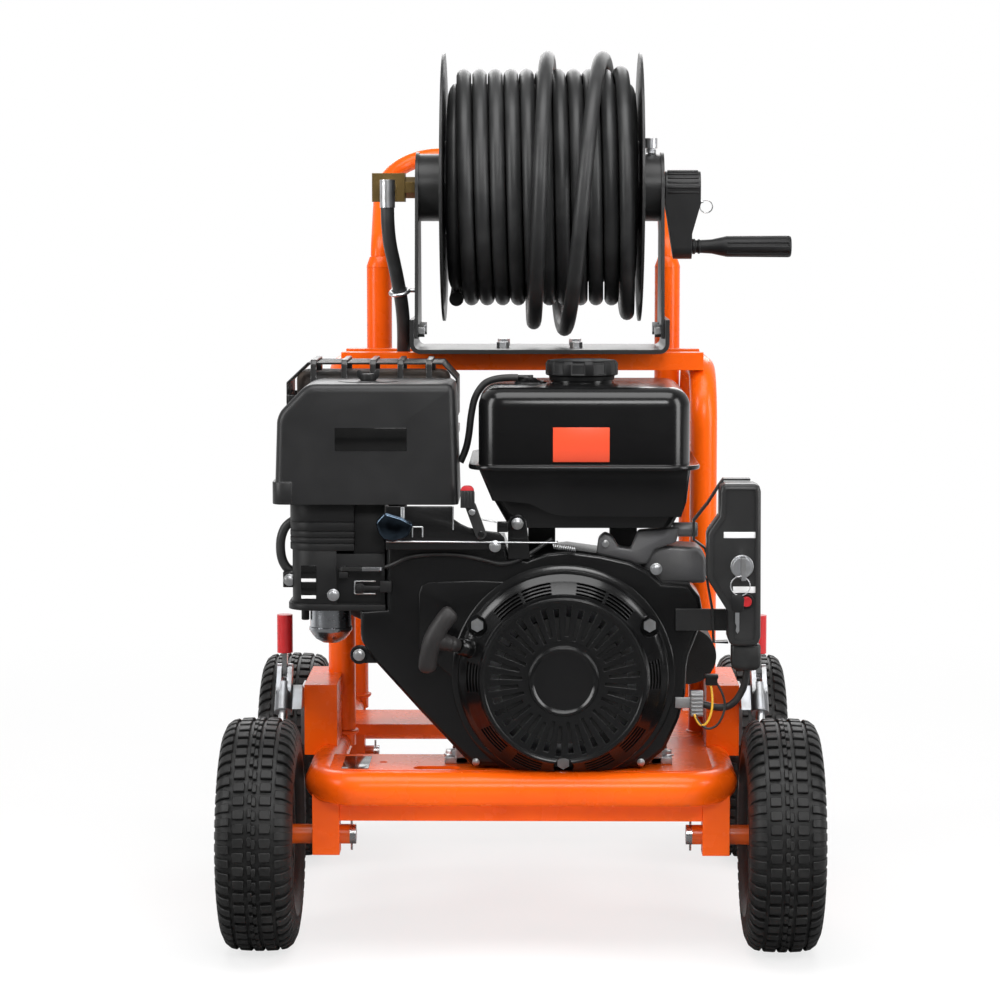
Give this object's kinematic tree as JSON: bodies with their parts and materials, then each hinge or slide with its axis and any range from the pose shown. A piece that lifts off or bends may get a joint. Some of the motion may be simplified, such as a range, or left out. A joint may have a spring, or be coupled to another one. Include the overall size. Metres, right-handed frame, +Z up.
{
  "type": "pressure washer",
  "caption": "Petrol pressure washer on a tubular wheeled cart, with engine, pump, key start box, parking brakes and a crank hose reel above.",
  "frame": {"origin": "On the ground under the middle of the cart", "axes": "+Z up, -Y is the front with the recoil starter, +X is the reel's crank side"},
  "size_m": [0.6646, 0.8, 1.0137],
  "materials": {
    "frame_paint": "gloss powder coat",
    "black_paint": "gloss black paint",
    "black_plastic": "fine textured moulding",
    "rim_paint": "satin dark paint",
    "tyre": "matt rubber",
    "hose_rubber": "smooth cover",
    "zinc": "zinc plated",
    "brass": "dull",
    "cast_alloy": "as cast",
    "exhaust_steel": "heat-proof dark coating",
    "brake_grip": "dipped grip",
    "rope": "braided cord"
  },
  "bodies": {
    "frame": {"air_cleaner_cover": "black_plastic", "axle_hardware": "zinc", "base_tube": "frame_paint", "brake_clamp_bases": "zinc", "breather_hose": "hose_rubber", "carburettor": "cast_alloy", "carburettor_housing": "black_plastic", "charging_wiring": "hose_rubber", "control_box": "black_paint", "crankcase": "black_paint", "cylinder_block": "black_paint", "engine_bolts": "zinc", "engine_brackets": "black_paint", "engine_deck": "frame_paint", "fan_shroud": "black_paint", "frame_posts": "frame_paint", "fuel_tank": "black_paint", "handle_bar": "frame_paint", "hoop_crossbars": "frame_paint", "jumper_hose": "hose_rubber", "left_hoop": "frame_paint", "muffler": "exhaust_steel", "muffler_guard": "black_paint", "pump": "cast_alloy", "recoil_cover": "black_paint", "reel_arms": "black_paint", "reel_base_plate": "black_paint", "reel_hardware": "zinc", "right_hoop": "frame_paint", "starter_motor": "cast_alloy", "swivel_joint": "brass"},
    "reel": {"reel_drum": "black_paint", "hose_core": "hose_rubber", "hose_winding": "hose_rubber", "hose_end_fitting": "zinc", "crank_arm": "black_paint"},
    "crank_grip": {"crank_grip": "black_plastic"},
    "lock_pin": {"reel_lock_pin": "zinc"},
    "throttle": {"throttle_lever": "black_plastic"},
    "choke": {"choke_lever": "zinc"},
    "fuel_tap": {"fuel_lever": "zinc"},
    "starter_handle": {"starter_grip": "black_plastic", "starter_rope": "rope"},
    "pulley": {"recoil_pulley": "black_plastic"},
    "crank": {"crankshaft": "zinc"},
    "key": {"ignition_key": "zinc"},
    "breaker": {"breaker_button": "black_plastic"},
    "cap": {"fuel_cap": "black_paint"},
    "wheel_front_left": {"rim_front_left": "rim_paint", "tyre_front_left": "tyre"},
    "wheel_front_right": {"rim_front_right": "rim_paint", "tyre_front_right": "tyre"},
    "wheel_rear_left": {"rim_rear_left": "rim_paint", "tyre_rear_left": "tyre"},
    "wheel_rear_right": {"rim_rear_right": "rim_paint", "tyre_rear_right": "tyre"},
    "brake_left": {"brake_lever_left": "brake_grip"},
    "plunger_left": {"brake_plunger_left": "zinc"},
    "brake_right": {"brake_lever_right": "brake_grip"},
    "plunger_right": {"brake_plunger_right": "zinc"}
  },
  "joints": [
    {"name": "wheel_front_left_spin", "type": "hinge", "parent": "frame", "child": "wheel_front_left", "pos_m": [-0.29, -0.27, 0.13], "axis": [1, 0, 0], "continuous": true},
    {"name": "wheel_front_right_spin", "type": "hinge", "parent": "frame", "child": "wheel_front_right", "pos_m": [0.29, -0.27, 0.13], "axis": [1, 0, 0], "continuous": true},
    {"name": "wheel_rear_left_spin", "type": "hinge", "parent": "frame", "child": "wheel_rear_left", "pos_m": [-0.29, 0.23, 0.13], "axis": [1, 0, 0], "continuous": true},
    {"name": "wheel_rear_right_spin", "type": "hinge", "parent": "frame", "child": "wheel_rear_right", "pos_m": [0.29, 0.23, 0.13], "axis": [1, 0, 0], "continuous": true},
    {"name": "brake_left_lever", "type": "hinge", "parent": "frame", "child": "brake_left", "pos_m": [-0.273, -0.14194, 0.29391], "axis": [-1, 0, 0], "range_deg": [0, 95]},
    {"name": "brake_left_plunger", "type": "slide", "parent": "frame", "child": "plunger_left", "axis": [0, 0.6157, 0.788], "range_m": [0, 0.012]},
    {"name": "brake_right_lever", "type": "hinge", "parent": "frame", "child": "brake_right", "pos_m": [0.273, -0.14194, 0.29391], "axis": [-1, 0, 0], "range_deg": [0, 95]},
    {"name": "brake_right_plunger", "type": "slide", "parent": "frame", "child": "plunger_right", "axis": [0, 0.6157, 0.788], "range_m": [0, 0.012]},
    {"name": "reel_spin", "type": "hinge", "parent": "frame", "child": "reel", "pos_m": [0.03, 0.032, 0.851], "axis": [1, 0, 0], "continuous": true},
    {"name": "crank_grip_spin", "type": "hinge", "parent": "reel", "child": "crank_grip", "pos_m": [0.264, 0.032, 0.781], "axis": [1, 0, 0], "continuous": true},
    {"name": "reel_lock", "type": "slide", "parent": "frame", "child": "lock_pin", "axis": [0, 0, 1], "range_m": [-0.006, 0]},
    {"name": "throttle", "type": "hinge", "parent": "frame", "child": "throttle", "pos_m": [-0.044, -0.298, 0.47], "axis": [0, 1, 0], "range_deg": [0, 35]},
    {"name": "choke", "type": "hinge", "parent": "frame", "child": "choke", "pos_m": [-0.196, -0.278, 0.429], "axis": [0, 0, -1], "range_deg": [0, 35]},
    {"name": "fuel_tap", "type": "hinge", "parent": "frame", "child": "fuel_tap", "pos_m": [-0.178, -0.28, 0.408], "axis": [0, 1, 0], "range_deg": [0, 90]},
    {"name": "starter_pull", "type": "slide", "parent": "frame", "child": "starter_handle", "axis": [-0.7998, -0.5199, 0.2999], "range_m": [0, 0.5], "stiffness_N_per_m": 40, "springref_m": -0.2, "deforming": ["starter_rope"]},
    {"name": "pulley_spin", "type": "hinge", "parent": "frame", "child": "pulley", "pos_m": [0.047, -0.307, 0.31], "axis": [0, 1, 0], "range_deg": [0, 420]},
    {"name": "crank_spin", "type": "hinge", "parent": "frame", "child": "crank", "pos_m": [0.047, -0.1, 0.31], "axis": [0, 1, 0], "continuous": true},
    {"name": "ignition_key", "type": "hinge", "parent": "frame", "child": "key", "pos_m": [0.241, -0.32, 0.437], "axis": [0, 1, 0], "range_deg": [-40, 40]},
    {"name": "breaker_press", "type": "slide", "parent": "frame", "child": "breaker", "axis": [0, 1, 0], "range_m": [0, 0.003], "stiffness_N_per_m": 600, "springref_m": -0.002},
    {"name": "fuel_cap_turn", "type": "hinge", "parent": "frame", "child": "cap", "pos_m": [0.068, -0.18, 0.645], "axis": [0, 0, 1], "range_deg": [0, 90]}
  ],
  "couplings": [
    {"joint": "brake_left_plunger", "follows": "brake_left_lever", "m_per_rad": 0.0072},
    {"joint": "brake_right_plunger", "follows": "brake_right_lever", "m_per_rad": 0.0072},
    {"joint": "pulley_spin", "follows": "starter_pull", "rad_per_m": 14.286}
  ]
}
